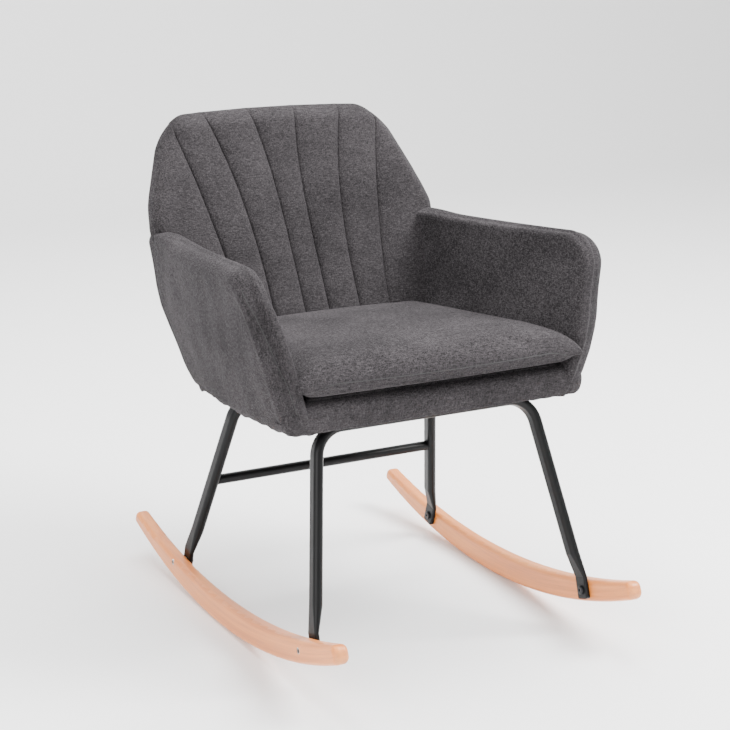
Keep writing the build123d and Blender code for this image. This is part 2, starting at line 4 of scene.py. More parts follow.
import bmesh
import bpy
import numpy as np
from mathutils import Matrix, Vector


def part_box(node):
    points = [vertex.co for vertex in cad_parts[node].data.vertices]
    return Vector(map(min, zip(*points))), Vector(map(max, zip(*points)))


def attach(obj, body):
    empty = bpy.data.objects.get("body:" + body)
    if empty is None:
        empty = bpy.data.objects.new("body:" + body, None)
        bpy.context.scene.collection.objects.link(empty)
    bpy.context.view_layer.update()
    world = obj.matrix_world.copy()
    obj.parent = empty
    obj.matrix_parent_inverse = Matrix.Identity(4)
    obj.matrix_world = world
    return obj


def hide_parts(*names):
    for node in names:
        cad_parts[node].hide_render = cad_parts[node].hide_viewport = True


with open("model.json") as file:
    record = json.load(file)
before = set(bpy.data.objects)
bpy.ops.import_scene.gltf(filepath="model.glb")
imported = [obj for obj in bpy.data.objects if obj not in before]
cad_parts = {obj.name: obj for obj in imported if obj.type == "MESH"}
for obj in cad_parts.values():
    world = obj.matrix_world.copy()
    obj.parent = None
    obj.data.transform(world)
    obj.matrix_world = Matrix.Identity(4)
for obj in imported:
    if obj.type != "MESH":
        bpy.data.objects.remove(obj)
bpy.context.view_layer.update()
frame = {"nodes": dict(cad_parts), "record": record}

# The back's highest place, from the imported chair.
_, BACK_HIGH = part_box("back_pad")

# The seat's tilted plane: its tilt, a point on its underside at the front, and how far up the
# seat board lies in it.
SEAT_TILT = math.radians(5.3)
SEAT_FRONT = (-0.2235, 0.365)
BOARD_HEIGHT = 0.0073

# Arms: their front edge and its outer width by height, and the width of their rear corner.
ARM_THICKNESS = 0.0428
ARM_HEIGHTS = (0.360, 0.380, 0.400, 0.430, 0.460, 0.480, 0.500, 0.520, 0.540, 0.560, 0.600)
ARM_FRONT_Y = (
    -0.2225, -0.225, -0.2275, -0.2300, -0.2290, -0.2260, -0.2205, -0.2150, -0.2100, -0.2070, -0.2025,
)
ARM_FRONT_X = (0.2440, 0.2500, 0.2580, 0.2675, 0.2755, 0.2805, 0.2850, 0.2900, 0.2960, 0.3030, 0.3095)
ARM_REAR_HEIGHTS = (0.323, 0.345, 0.367, 0.395, 0.425, 0.458, 0.488, 0.545, 0.580)
ARM_REAR_X = (0.204, 0.213, 0.221, 0.228, 0.236, 0.2435, 0.2460, 0.2455, 0.2450)
ARM_TOP_FRONT = 0.600
ARM_TOP_REAR = 0.573
ARM_CORNER_RADIUS = 0.064
ARM_OUTER_ROUND = 0.024
ARM_INNER_ROUND = 0.0075

# The arm's topstitched seam, by height.
STITCH_HEIGHTS = (0.370, 0.400, 0.440, 0.460, 0.480, 0.500, 0.520, 0.540, 0.560, 0.575)
STITCH_X = (0.2300, 0.2360, 0.2470, 0.2550, 0.2610, 0.2670, 0.2730, 0.2790, 0.2860, 0.2900)
STITCH_Y = (-0.2260, -0.2285, -0.2270, -0.2230, -0.2180, -0.2120, -0.2050, -0.1980, -0.1880, -0.1780)

# Back: its front and rear faces lean, and both are curved in plan. Its half-width is given by height.
BACK_FOOT = 0.325
BACK_TOP = BACK_HIGH.z
BACK_FRONT_FOOT = 0.1105
BACK_FRONT_SLOPE = 0.5385
BACK_REAR_FOOT = 0.2075
BACK_REAR_SLOPE = 0.437
BACK_FRONT_CURVE = 0.020 / 0.28 ** 2
BACK_REAR_CURVE = 0.016 / 0.28 ** 2
BACK_SIDE_FALL = 0.36
BACK_HEIGHTS = (0.325, 0.44, 0.50, 0.545, 0.565, 0.580, 0.600, 0.615, 0.652, 0.689, 0.717, 0.76)
BACK_HALVES = (0.196, 0.225, 0.234, 0.2395, 0.247, 0.2535, 0.2490, 0.2440, 0.2300, 0.2160, 0.2050, 0.1900)
BACK_TOP_CROWN = 0.005
BACK_CORNER_RADIUS = 0.042
BACK_FRONT_ROUND = 0.018
BACK_REAR_ROUND = 0.020
CUSHION_LINE = 0.433
# Each channel seam: its distance from the middle at the cushion and at the top, and how late it fans out.
CHANNEL_SEAMS = ((0.0215, 0.042, 4.0), (0.077, 0.124, 2.4), (0.131, 0.190, 1.5))


# Mesh helpers


def make_piece(name, patches, material, weld=2e-5):
    """One smooth mesh from grids of points, each with its weave coordinates in metres."""
    points, faces, weave = [], [], []
    for grid, coords in patches:
        rows, columns = grid.shape[:2]
        start = sum(len(block) for block in points)
        points.append(grid.reshape(-1, 3))
        index = np.arange(rows * columns).reshape(rows, columns) + start
        quads = np.stack([index[:-1, :-1], index[1:, :-1], index[1:, 1:], index[:-1, 1:]], -1)
        faces.append(quads.reshape(-1, 4))
        weave.append(coords.reshape(-1, 2))
    points = np.concatenate(points)
    faces = np.concatenate(faces)
    weave = np.concatenate(weave)
    mesh = bpy.data.meshes.new(name)
    mesh.from_pydata(points.tolist(), [], faces.tolist())
    layer = mesh.uv_layers.new(name="weave")
    layer.data.foreach_set("uv", weave[faces.reshape(-1)].astype(np.float32).reshape(-1))
    work = bmesh.new()
    work.from_mesh(mesh)
    bmesh.ops.remove_doubles(work, verts=work.verts, dist=weld)
    bmesh.ops.dissolve_degenerate(work, edges=work.edges, dist=weld / 2)
    bmesh.ops.recalc_face_normals(work, faces=work.faces)
    work.to_mesh(mesh)
    work.free()
    mesh.shade_smooth()
    piece = bpy.data.objects.new(name, mesh)
    bpy.context.scene.collection.objects.link(piece)
    piece.data.materials.append(material)
    return piece


def strip(first, second, first_coords, segments=1, swell=None):
    """A band of quads between two rows of points; swell moves its middle."""
    shares = np.linspace(0, 1, segments + 1)[:, None, None]
    band = first[None] * (1 - shares) + second[None] * shares
    if swell is not None:
        band = band + swell[None] * np.sin(np.pi * shares)
    width = np.linalg.norm(second - first, axis=1).mean()
    coords = np.repeat(first_coords[None], segments + 1, 0).astype(float)
    coords[..., 1] += width * shares[..., 0]
    return band, coords


def border_swell(points, straight, corner, radius, amplitude, both=False):
    """Outward moves along a border that starts, and perhaps ends, in the middle of a rounded corner."""
    length = np.cumsum(np.r_[0, np.linalg.norm(np.diff(points, axis=0), axis=1)])
    reach = radius * math.pi / 4
    near = np.clip(1 - length / reach, 0, 1)[:, None]
    away = straight * (1 - near) + np.array(corner) * near
    if both:
        near = np.clip(1 - (length[-1] - length) / reach, 0, 1)[:, None]
        mirrored = np.array(corner) * np.array([-1, 1, 1])
        away = away * (1 - near) + mirrored * near
    return amplitude * away / np.linalg.norm(away, axis=1, keepdims=True)


def rounding(distance, radius):
    """How far a face has curved away at a distance inside its rounded edge."""
    inside = radius - np.minimum(distance, radius)
    return radius - np.sqrt(np.maximum(radius ** 2 - inside ** 2, 0))


def round_corner(across, down, radius):
    """Bends a square corner of a grid, in metres from its two edges, into a round one.

    Returns the new distances from both edges and the distance from the rounded border.
    """
    x = np.clip(1 - across / radius, 0, 1)
    y = np.clip(1 - down / radius, 0, 1)
    in_corner = (x > 0) & (y > 0)
    bent_x = x * np.sqrt(1 - y ** 2 / 2)
    bent_y = y * np.sqrt(1 - x ** 2 / 2)
    new_across = np.where(in_corner, radius * (1 - bent_x), across)
    new_down = np.where(in_corner, radius * (1 - bent_y), down)
    corner_distance = radius - np.hypot(radius - new_across, radius - new_down)
    return new_across, new_down, np.where(in_corner, corner_distance, np.minimum(across, down))


def edge_steps(length, fine, count, coarse):
    """Distances from an edge: close together near it, and even beyond."""
    near = fine * np.linspace(0, 1, count + 1) ** 1.6
    far = np.linspace(fine, length, max(2, int((length - fine) / coarse)) + 1)
    return np.concatenate([near, far[1:]])


def ease(value, low, high):
    share = np.clip((value - low) / (high - low), 0, 1)
    return share * share * (3 - 2 * share)


def ripple(along, seed, amplitude):
    """A small uneven wave, the same each run."""
    waves = np.random.default_rng(seed)
    total = np.zeros_like(along)
    for length in (0.023, 0.041, 0.077, 0.13):
        total = total + waves.uniform(0.4, 1) * np.sin(
            2 * np.pi * along / length + waves.uniform(0, 2 * np.pi)
        )
    return amplitude * total / 2.2


def seat_point(x, along, height):
    """A point given in the seat's tilted plane."""
    cosine, sine = math.cos(SEAT_TILT), math.sin(SEAT_TILT)
    y = SEAT_FRONT[0] + along * cosine + height * sine
    z = SEAT_FRONT[1] - along * sine + height * cosine
    x, y, z = np.broadcast_arrays(x, y, z)
    return np.stack([x, y, z], -1).astype(float)


def underside(y):
    """Height of the seat's underside at a place along the chair."""
    return SEAT_FRONT[1] - (y - SEAT_FRONT[0]) * math.tan(SEAT_TILT)


# Materials


class Nodes:
    """A short way to write a material's node graph."""

    def __init__(self, name):
        self.material = bpy.data.materials.new(name)
        self.material.use_nodes = True
        self.tree = self.material.node_tree
        self.shader = self.tree.nodes["Principled BSDF"]

    def add(self, kind, **settings):
        node = self.tree.nodes.new(kind)
        inputs = settings.pop("inputs", {})
        for key, value in settings.items():
            setattr(node, key, value)
        for key, value in inputs.items():
            self.put(node.inputs[key], value)
        return node

    def put(self, socket, value):
        if isinstance(value, bpy.types.NodeSocket):
            self.tree.links.new(value, socket)
        else:
            socket.default_value = value

    def math(self, operation, first, second=0.0, third=None):
        node = self.add("ShaderNodeMath", operation=operation)
        self.put(node.inputs[0], first)
        self.put(node.inputs[1], second)
        if third is not None:
            self.put(node.inputs[2], third)
        return node.outputs[0]

    def scaled(self, vector, scale, turn=(0, 0, 0)):
        node = self.add("ShaderNodeMapping", inputs={"Vector": vector, "Scale": scale, "Rotation": turn})
        return node.outputs[0]

    def noise(self, vector, scale=1.0, detail=2.0, roughness=0.5):
        node = self.add(
            "ShaderNodeTexNoise",
            inputs={"Vector": vector, "Scale": scale, "Detail": detail, "Roughness": roughness},
        )
        return node.outputs[0]

    def ramp(self, value, stops):
        node = self.add("ShaderNodeValToRGB", inputs={"Fac": value})
        elements = node.color_ramp.elements
        while len(elements) < len(stops):
            elements.new(0.5)
        for element, (place, color) in zip(elements, stops):
            element.position = place
            element.color = (*color, 1)
        return node.outputs[0]

    def mix(self, share, first, second, blend="MIX"):
        node = self.add("ShaderNodeMix", data_type="RGBA", blend_type=blend)
        self.put(node.inputs[0], share)
        for socket, value in ((node.inputs[6], first), (node.inputs[7], second)):
            self.put(socket, (*value, 1) if isinstance(value, tuple) else value)
        return node.outputs[2]

    def bump(self, height, distance, strength=1.0, normal=None):
        node = self.add("ShaderNodeBump", inputs={"Height": height})
        node.inputs["Distance"].default_value = distance
        node.inputs["Strength"].default_value = strength
        if normal is not None:
            self.put(node.inputs["Normal"], normal)
        return node.outputs[0]

    def surface(self, **inputs):
        for key, value in inputs.items():
            self.put(self.shader.inputs[key.replace("_", " ")], value)
        return self.material


def woven_fabric(name, dark, light, pitch=0.0012):
    """Plain-woven cloth of flecked yarn, with threads that run along the object's own axes."""
    n = Nodes(name)
    place = n.add("ShaderNodeTexCoord").outputs["Object"]
    normal = n.add("ShaderNodeNewGeometry").outputs["Normal"]
    facing = n.add("ShaderNodeSeparateXYZ", inputs={"Vector": normal})
    parts = n.add("ShaderNodeSeparateXYZ", inputs={"Vector": place})
    in_plane, waves = [], []
    for axis in range(3):
        flat = n.math("ABSOLUTE", facing.outputs[axis])
        in_plane.append(n.math("SUBTRACT", 1.02, n.math("MULTIPLY", flat, flat)))
        waves.append(n.math("SINE", n.math("MULTIPLY", parts.outputs[axis], math.pi / pitch)))
    yarns = []
    for axis in range(3):
        stretch = [560.0, 560.0, 560.0]
        stretch[axis] = 150.0
        yarns.append(n.noise(n.scaled(place, stretch), detail=2.5, roughness=0.6))
    total = n.math("MULTIPLY", yarns[0], in_plane[0])
    total = n.math("MULTIPLY_ADD", yarns[1], in_plane[1], total)
    total = n.math("MULTIPLY_ADD", yarns[2], in_plane[2], total)
    yarn = n.math("DIVIDE", total, n.math("ADD", n.math("ADD", in_plane[0], in_plane[1]), in_plane[2]))
    fleck = n.noise(n.scaled(place, (760, 760, 760)), detail=2.0, roughness=0.7)
    cloud = n.noise(n.scaled(place, (9, 9, 9)), detail=3.0)
    tone = n.math("MULTIPLY_ADD", fleck, 0.42, n.math("MULTIPLY", yarn, 0.58))
    tone = n.math("MULTIPLY_ADD", n.math("SUBTRACT", cloud, 0.5), 0.16, tone)
    gain = n.math("MULTIPLY_ADD", in_plane[1], 0.5, 0.72)
    tone = n.math("MULTIPLY_ADD", n.math("SUBTRACT", tone, 0.5), gain, 0.5)
    middle = tuple(0.62 * a + 0.38 * b for a, b in zip(dark, light))
    color = n.ramp(tone, ((0.40, dark), (0.50, middle), (0.61, light)))
    thread = n.math("MULTIPLY", n.math("MULTIPLY", waves[0], waves[1]), n.math("SUBTRACT", 1.02, in_plane[2]))
    for first, second, across in ((1, 2, 0), (0, 2, 1)):
        weave = n.math("MULTIPLY", waves[first], waves[second])
        thread = n.math("MULTIPLY_ADD", weave, n.math("SUBTRACT", 1.02, in_plane[across]), thread)
    cloth = n.math("MULTIPLY_ADD", yarn, 1.6, n.math("ABSOLUTE", thread))
    soft = n.noise(n.scaled(place, (34, 34, 34)), detail=2.0)
    normal = n.bump(soft, 0.004, 0.15, n.bump(cloth, 0.0004, 0.8))
    n.surface(Base_Color=color, Roughness=n.math("MULTIPLY_ADD", fleck, 0.12, 0.82), Normal=normal)
    n.shader.inputs["Sheen Weight"].default_value = 0.05
    n.shader.inputs["Sheen Roughness"].default_value = 0.45
    n.shader.inputs["Sheen Tint"].default_value = (0.85, 0.80, 0.84, 1)
    n.shader.inputs["Specular IOR Level"].default_value = 0.05
    return n.material


def thread_material():
    n = Nodes("sewing_thread")
    place = n.add("ShaderNodeTexCoord").outputs["Object"]
    twist = n.noise(n.scaled(place, (1800, 1800, 1800)), detail=1.0)
    color = n.mix(twist, (0.0020, 0.0018, 0.0020), (0.007, 0.0065, 0.007))
    n.surface(Base_Color=color, Roughness=0.6, Normal=n.bump(twist, 0.0002, 0.6))
    return n.material


def beech():
    """Steam-bent beech: fine grain that follows the runner's curve, with short brown flecks."""
    n = Nodes("beech_runner")
    place = n.add("ShaderNodeTexCoord").outputs["Object"]
    low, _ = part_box("rocker_left")
    parts = n.add("ShaderNodeSeparateXYZ", inputs={"Vector": place})
    radius = 1.021
    contact = 0.039
    forward = n.math("SUBTRACT", parts.outputs[1], contact)
    rise = n.math("SUBTRACT", radius, parts.outputs[2])
    square = n.math("MULTIPLY_ADD", forward, forward, n.math("MULTIPLY", rise, rise))
    reach = n.math("SQRT", square)
    turn = n.math("MULTIPLY", n.math("ARCTAN2", forward, rise), radius)
    grain = n.add("ShaderNodeCombineXYZ", inputs={"X": parts.outputs[0], "Y": turn, "Z": reach}).outputs[0]
    band = n.noise(n.scaled(grain, (60, 3.2, 150)), detail=3.0, roughness=0.55)
    fine = n.noise(n.scaled(grain, (900, 22, 900)), detail=2.0, roughness=0.6)
    fleck = n.noise(n.scaled(grain, (1500, 210, 1500)), detail=1.0)
    pores = n.math("GREATER_THAN", fleck, 0.69)
    tone = n.math("MULTIPLY_ADD", fine, 0.35, n.math("MULTIPLY", band, 0.65))
    dark, middle, pale = (0.50, 0.135, 0.022), (0.65, 0.200, 0.037), (0.76, 0.270, 0.062)
    color = n.ramp(tone, ((0.32, dark), (0.50, middle), (0.68, pale)))
    color = n.mix(n.math("MULTIPLY", pores, 0.45), color, (0.36, 0.17, 0.08))
    end = n.math("SUBTRACT", 0.0, n.math("ADD", parts.outputs[1], -low.y - 0.004))
    darker = n.math("MULTIPLY", n.math("GREATER_THAN", end, 0.0), 0.25)
    color = n.mix(darker, color, (0.40, 0.21, 0.11))
    rough = n.math("MULTIPLY_ADD", fine, 0.18, 0.36)
    n.surface(Base_Color=color, Roughness=rough, Normal=n.bump(n.math("ADD", fine, band), 0.0003, 0.35))
    n.shader.inputs["Coat Weight"].default_value = 0.25
    n.shader.inputs["Coat Roughness"].default_value = 0.28
    return n.material


def board_wood(name, pale, dark):
    """Plywood or softwood boards inside the seat."""
    n = Nodes(name)
    place = n.add("ShaderNodeTexCoord").outputs["Object"]
    ring = n.noise(n.scaled(place, (26, 5, 260)), detail=3.0)
    fine = n.noise(n.scaled(place, (500, 30, 500)), detail=2.0)
    tone = n.math("MULTIPLY_ADD", fine, 0.4, n.math("MULTIPLY", ring, 0.6))
    color = n.ramp(tone, ((0.35, dark), (0.65, pale)))
    n.surface(Base_Color=color, Roughness=0.7, Normal=n.bump(tone, 0.0004, 0.4))
    return n.material


def powder_coat(name, color, grit=1.0):
    """Satin black powder coat with a fine orange-peel skin and faint rubbed patches."""
    n = Nodes(name)
    place = n.add("ShaderNodeTexCoord").outputs["Object"]
    peel = n.noise(n.scaled(place, (900, 900, 900)), detail=1.5)
    patch = n.noise(n.scaled(place, (22, 22, 22)), detail=4.0)
    tone = n.mix(patch, tuple(0.8 * c for c in color), tuple(1.35 * c for c in color))
    rough = n.math("MULTIPLY_ADD", patch, 0.16, 0.30)
    n.surface(Base_Color=tone, Roughness=rough, Normal=n.bump(peel, 0.00012 * grit, 0.5))
    n.shader.inputs["Specular IOR Level"].default_value = 0.18
    return n.material


def plated_steel(name, color, roughness):
    n = Nodes(name)
    place = n.add("ShaderNodeTexCoord").outputs["Object"]
    brushed = n.noise(n.scaled(place, (200, 2200, 2200)), detail=2.0)
    tone = n.mix(brushed, tuple(0.75 * c for c in color), color)
    rough = n.math("MULTIPLY_ADD", brushed, 0.2, roughness)
    n.surface(Base_Color=tone, Roughness=rough, Metallic=1.0, Normal=n.bump(brushed, 0.0001, 0.4))
    return n.material


def foam_material():
    n = Nodes("cut_foam")
    place = n.add("ShaderNodeTexCoord").outputs["Object"]
    cells = n.add("ShaderNodeTexVoronoi", inputs={"Vector": n.scaled(place, (700, 700, 700))}).outputs[0]
    color = n.mix(cells, (0.80, 0.72, 0.52), (0.90, 0.86, 0.72))
    n.surface(Base_Color=color, Roughness=0.9, Normal=n.bump(cells, 0.0006, 0.6))
    return n.material


# Back


def back_front(x, z):
    return BACK_FRONT_FOOT + BACK_FRONT_SLOPE * (z - BACK_FOOT) - BACK_FRONT_CURVE * x ** 2


def back_rear(x, z):
    return BACK_REAR_FOOT + BACK_REAR_SLOPE * (z - BACK_FOOT) - BACK_REAR_CURVE * x ** 2


def back_half_width(z):
    """Half the width of the back's front face at a height."""
    steps = np.linspace(-0.010, 0.010, 5)
    return np.mean([np.interp(z + step, BACK_HEIGHTS, BACK_HALVES) for step in steps], 0)


def rear_of(front):
    """The places on the back's rear face behind places on its front face."""
    x, y, z = front[..., 0], front[..., 1], front[..., 2]
    depth = (back_rear(x, z) - y) / (1 + BACK_SIDE_FALL * BACK_REAR_SLOPE)
    return x, y + depth, z - BACK_SIDE_FALL * depth


def seam_place(seam, z):
    """Distance of a channel seam from the middle at a height."""
    low, high, power = seam
    share = np.clip((z - CUSHION_LINE) / (BACK_TOP - CUSHION_LINE), 0, 1)
    return low + (high - low) * share ** power


def back_grid():
    """The back's grid: rows from the top down, columns from one side to the other along the seams."""
    height = BACK_TOP - (BACK_FOOT + 0.008)
    down = edge_steps(height, 0.036, 14, 0.0052)[:, None]
    z_plain = BACK_TOP - down
    inner = [seam_place(seam, z_plain[:, 0]) for seam in CHANNEL_SEAMS]
    half = back_half_width(z_plain[:, 0])
    lines = [-half, -inner[2], -inner[1], -inner[0], inner[0], inner[1], inner[2], half]
    per_channel = 18
    share = 0.5 - 0.5 * np.cos(np.pi * (np.arange(per_channel) / per_channel))
    columns, channel_share, channel_width = [], [], []
    for left, right in zip(lines[:-1], lines[1:]):
        columns.append(left[:, None] + (right - left)[:, None] * share)
        channel_share.append(np.broadcast_to(share, (len(half), per_channel)))
        channel_width.append(np.repeat((right - left)[:, None], per_channel, 1))
    x = np.concatenate(columns + [half[:, None]], 1)
    t = np.concatenate(channel_share + [np.ones((len(half), 1))], 1)
    width = np.concatenate(channel_width + [(half - inner[2])[:, None]], 1)
    return x, np.broadcast_to(z_plain, x.shape), t, width, half[:, None], down


def make_back(fabric):
    x, z, t, width, half, down = back_grid()
    edge = half - np.abs(x)
    new_edge, new_down, distance = round_corner(edge, np.broadcast_to(down, x.shape), BACK_CORNER_RADIUS)
    bent_x = np.sign(x) * (half - new_edge)
    crown = BACK_TOP_CROWN * (bent_x / 0.2) ** 2
    bent_z = BACK_TOP - new_down - crown * ease(-new_down, -0.12, 0)
    count = x.shape[1]
    outer_left = np.arange(count) < 18
    outer_right = np.arange(count) >= count - 19
    profile = np.sqrt(np.clip(1 - np.abs(2 * t - 1) ** 2.3, 0, 1))
    profile = np.where(outer_left, np.sqrt(1 - np.clip(1 - 2.2 * (1 - t), 0, 1) ** 2.3), profile)
    profile = np.where(outer_right, np.sqrt(1 - np.clip(1 - 2.2 * t, 0, 1) ** 2.3), profile)
    swell = np.clip(0.17 * width, 0.004, 0.0105) * profile
    swell = swell * (0.35 + 0.65 * ease(distance, 0.0, 0.02))
    front_y = back_front(bent_x, bent_z) + 0.006 - swell + rounding(distance, BACK_FRONT_ROUND)
    front_y = front_y + ripple(bent_z + 0.3 * bent_x, 5, 0.0005)
    front = np.stack([bent_x, front_y, bent_z], -1)
    flat = np.stack([bent_x, back_front(bent_x, bent_z), bent_z], -1)
    rear_x, rear_y, rear_z = rear_of(flat)
    taper = -0.002 + 0.011 * np.exp(-((bent_z - 0.585) / 0.03) ** 2)
    rear_x = rear_x * (1 - taper / half)
    rear_z = np.maximum(rear_z, underside(rear_y) + 0.001)
    rear_y = back_rear(rear_x, rear_z)
    rear = np.stack([rear_x, rear_y - 0.003 - rounding(distance, BACK_REAR_ROUND), rear_z], -1)
    coords = np.stack([bent_x, bent_z * 1.13], -1)
    patches = [(front, coords), (rear, coords)]
    for edge_slice, outward, corner, both in (
        ((slice(None), 0), (-1.0, 0, 0), (-0.71, 0, 0.71), False),
        ((slice(None), -1), (1.0, 0, 0), (0.71, 0, 0.71), False),
        ((0, slice(None)), (0, 0, 1.0), (-0.71, 0, 0.71), True),
        ((-1, slice(None)), (0, 0, -1.0), (0, 0, -1.0), False),
    ):
        first, second = front[edge_slice], rear[edge_slice]
        along = np.cumsum(np.r_[0, np.linalg.norm(np.diff(first, axis=0), axis=1)])
        band_coords = np.stack([along, np.zeros_like(along)], -1)
        swell_out = border_swell(first, np.array(outward), corner, BACK_CORNER_RADIUS, 0.0035, both)
        patches.append(strip(first, second, band_coords, 6, swell_out))
    return make_piece("back_upholstery", patches, fabric)


def make_back_outer(fabric):
    """The outer back panel, a stretched cover set a little inside the back's rear edge."""
    down = edge_steps(BACK_TOP - BACK_FOOT - 0.030, 0.03, 8, 0.009)[:, None]
    top = BACK_TOP - 0.034
    z = top - down
    half = back_half_width(z + 0.02) - 0.020
    share = np.concatenate([[-1], -1 + 0.06 * np.linspace(0.1, 1, 7), np.linspace(-0.92, 0.92, 60)])
    share = np.concatenate([share, -share[1:8][::-1], [1]])
    x = half * share[None]
    edge = half - np.abs(x)
    new_edge, new_down, distance = round_corner(edge, np.broadcast_to(down, x.shape), BACK_CORNER_RADIUS)
    bent_x = np.sign(x) * (half - new_edge)
    bent_z = top - new_down - BACK_TOP_CROWN * (bent_x / 0.2) ** 2
    bent_z = np.maximum(bent_z, underside(back_rear(bent_x, bent_z)) + 0.001)
    lift = 0.0022 * (1 - np.exp(-distance / 0.003)) + 0.003 * ease(distance, 0, 0.15)
    y = back_rear(bent_x, bent_z) - 0.0042 + lift + ripple(bent_z + 0.7 * bent_x, 9, 0.0004)
    y = np.where(distance < 0.001, y - 0.002, y)
    grid = np.stack([bent_x, y, bent_z], -1)
    return make_piece("back_outer_panel", [(grid, np.stack([bent_x, bent_z * 1.1], -1))], fabric)


# Arms


def arm_share(y, z):
    """How far along the arm a side-view place lies, from its front edge to its rear corner."""
    front = np.interp(z, ARM_HEIGHTS, ARM_FRONT_Y)
    rear = back_rear(0.24, z) - 0.012
    return np.clip((y - front) / (rear - front), 0, 1)


def arm_outer_x(y, z):
    """The arm's outer face at a side-view place, before its edges are rounded."""
    share = arm_share(y, z)
    front = np.interp(z, ARM_HEIGHTS, ARM_FRONT_X)
    rear = np.interp(z, ARM_REAR_HEIGHTS, ARM_REAR_X)
    return front + (rear - front) * share + 0.004 * np.sin(np.pi * share)


def arm_sheet(outer):
    """One face of an arm as a grid: rows from the top down, columns from the front to the rear."""
    across = edge_steps(1.0, 0.16, 20, 0.014)[None]
    down = edge_steps(1.0, 0.36, 26, 0.022)[:, None]
    rear_y = back_rear(0.24, ARM_TOP_REAR) - 0.012 if outer else back_front(0.22, ARM_TOP_REAR) + 0.020
    rear_low_y = back_rear(0.21, BACK_FOOT) - 0.012 if outer else back_front(0.2, BACK_FOOT) + 0.020
    length = (rear_y + 0.20) * (1 - down) + (rear_low_y + 0.2235) * down
    height = 0.235 + 0.006 * across
    new_across, new_down, distance = round_corner(across * length, down * height, ARM_CORNER_RADIUS)
    a = new_across / length
    b = new_down / height
    top = ARM_TOP_FRONT + (ARM_TOP_REAR - ARM_TOP_FRONT) * a - 0.003 * np.sin(np.pi * a)
    rear = rear_y + (rear_low_y - rear_y) * b
    low_y = -0.2225 + (rear_low_y + 0.2225) * a
    z = top + (underside(low_y) - top) * b
    front = np.interp(z, ARM_HEIGHTS, ARM_FRONT_Y)
    y = front + (rear - front) * a
    x = arm_outer_x(y, z)
    share = arm_share(y, z)
    if outer:
        y = y + 0.006 * (1 - ease(a, 0, 0.06))
        radius = ARM_OUTER_ROUND - 0.019 * ease(share, 0.66, 0.86)
        x = x - rounding(distance, radius)
        hollow = np.exp(-((distance - 0.034) / 0.012) ** 2) * ease(-a, -0.30, -0.10) * ease(b, 0.10, 0.35)
        x = x - 0.0022 * hollow
        x = x + (ripple(0.32 * y + 0.06 * z, 21, 0.0016) * ease(distance, 0.0, 0.03))
        x = x - 0.006 * ease(b, 0.94, 1.0) ** 2
        tuck = ease(share, 0.90, 1.0) * ease(-b, -0.09, 0)
        x = x - 0.007 * tuck
        z = z - 0.004 * tuck
    else:
        swell = np.sqrt(np.clip(np.sin(np.pi * np.clip(a, 0, 1)) * np.sin(np.pi * np.clip(b, 0, 1)), 0, 1))
        thick = 0.014 * share * np.clip((0.53 - z) / 0.1, 0, 1)
        x = x - ARM_THICKNESS - thick - 0.003 * swell + rounding(distance, ARM_INNER_ROUND)
        x = x + ripple(y + z * 0.4, 22, 0.0006)
    bottom = (ripple(0.7 * y, 31, 0.0013) + 0.003 * ease(a, 0.78, 1.0)) * ease(b, 0.90, 1.0)
    return np.stack([x, y, z + bottom], -1), np.stack([y, z], -1)


def make_arm(side, fabric, name):
    outer, outer_coords = arm_sheet(True)
    inner, inner_coords = arm_sheet(False)
    wrap = outer[:, -1:]
    wrapped = [wrap]
    turns = ((0.0010, 0.0035), (0.0035, 0.0075), (0.0075, 0.0105), (0.013, 0.012), (0.024, 0.0105))
    for inward, behind in turns:
        wrapped.append(wrap + np.array([-inward, behind, 0]))
    corner = np.concatenate(wrapped, 1)
    patches = [(outer, outer_coords), (inner, inner_coords), (corner, corner[..., :2])]
    top_out = border_swell(outer[0], np.array([0, 0, 1.0]), (0, -0.71, 0.71), ARM_CORNER_RADIUS, 0.0034)
    front_out = border_swell(outer[:, 0], np.array([0, -1.0, 0]), (0, -0.71, 0.71), ARM_CORNER_RADIUS, 0.0034)
    patches.append(strip(outer[0], inner[0], outer_coords[0], 6, top_out))
    patches.append(strip(outer[:, 0], inner[:, 0], outer_coords[:, 0], 6, front_out))
    patches.append(strip(outer[-1], inner[-1], outer_coords[-1], 4, 0 * outer[-1]))
    patches.append(strip(corner[:, -1], inner[:, -1], outer_coords[:, -1], 4, 0 * outer[:, -1]))
    for place in (0, -1):
        patches.append(strip(corner[place], corner[place] * 0 + inner[place, -1], corner[place][:, :2], 1))
    for grid, _ in patches:
        grid[..., 0] *= side
    return make_piece(name, patches, fabric)


# Seat


